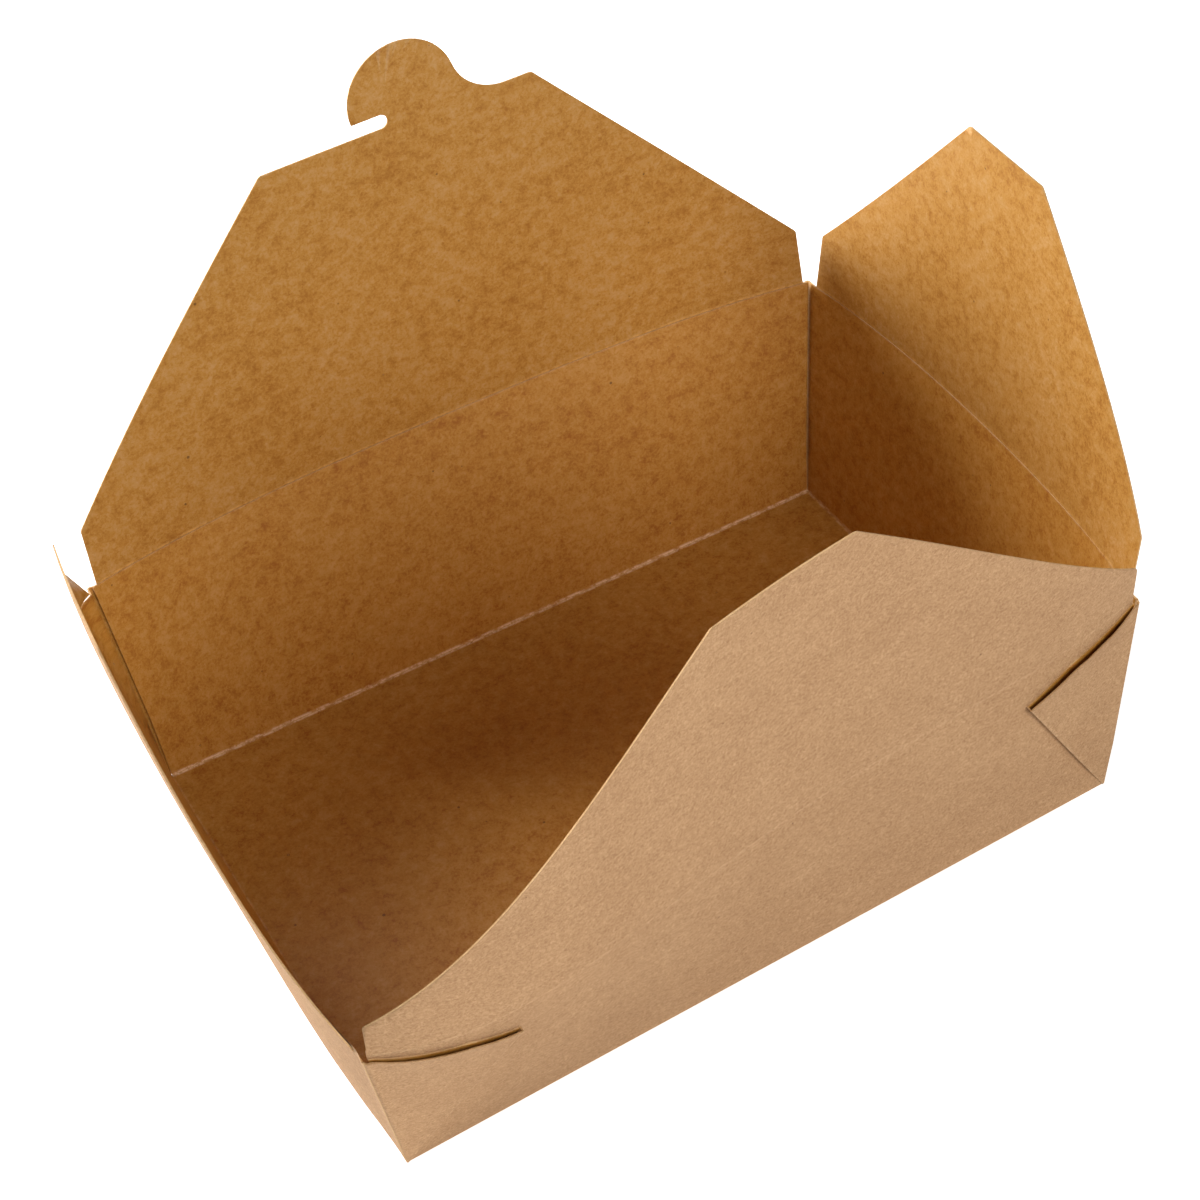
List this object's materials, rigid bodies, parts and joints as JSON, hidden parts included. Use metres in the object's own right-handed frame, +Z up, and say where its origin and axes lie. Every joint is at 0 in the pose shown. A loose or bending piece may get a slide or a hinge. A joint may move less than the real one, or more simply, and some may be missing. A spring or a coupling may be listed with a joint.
{
  "type": "takeaway box",
  "caption": "Open kraft board food box: a tray with leaning walls and folded corner webs, and closing flaps standing on its rim, the rear one with a round hook.",
  "frame": {"origin": "centre of the underside of the bottom panel, on the surface that the box stands on", "axes": "+X along the long side to the right, +Y towards the wall whose flap has the hook, +Z up"},
  "size_m": [0.2399, 0.1877, 0.1741],
  "materials": {
    "kraft_board": "unbleached kraft board, matt outside, with a smoother clear-coated inside"
  },
  "bodies": {
    "tray": {"tray": "kraft_board"},
    "rear_flap": {"rear_flap": "kraft_board"},
    "front_flap": {"front_flap": "kraft_board"},
    "right_flap": {"right_flap": "kraft_board"},
    "left_flap": {"left_flap": "kraft_board"}
  },
  "joints": [
    {"name": "rear_crease", "type": "hinge", "parent": "tray", "child": "rear_flap", "pos_m": [0, 0.0787, 0.0654], "axis": [1, 0, 0], "range_deg": [-85, 98]},
    {"name": "front_crease", "type": "hinge", "parent": "tray", "child": "front_flap", "pos_m": [0, -0.0787, 0.0654], "axis": [-1, 0, 0], "range_deg": [-85, 98.5]},
    {"name": "right_crease", "type": "hinge", "parent": "tray", "child": "right_flap", "pos_m": [0.10712, 0, 0.06475], "axis": [0, -1, 0], "range_deg": [-85, 100]},
    {"name": "left_crease", "type": "hinge", "parent": "tray", "child": "left_flap", "pos_m": [-0.10712, 0, 0.06475], "axis": [0, 1, 0], "range_deg": [-85, 98.5]}
  ]
}
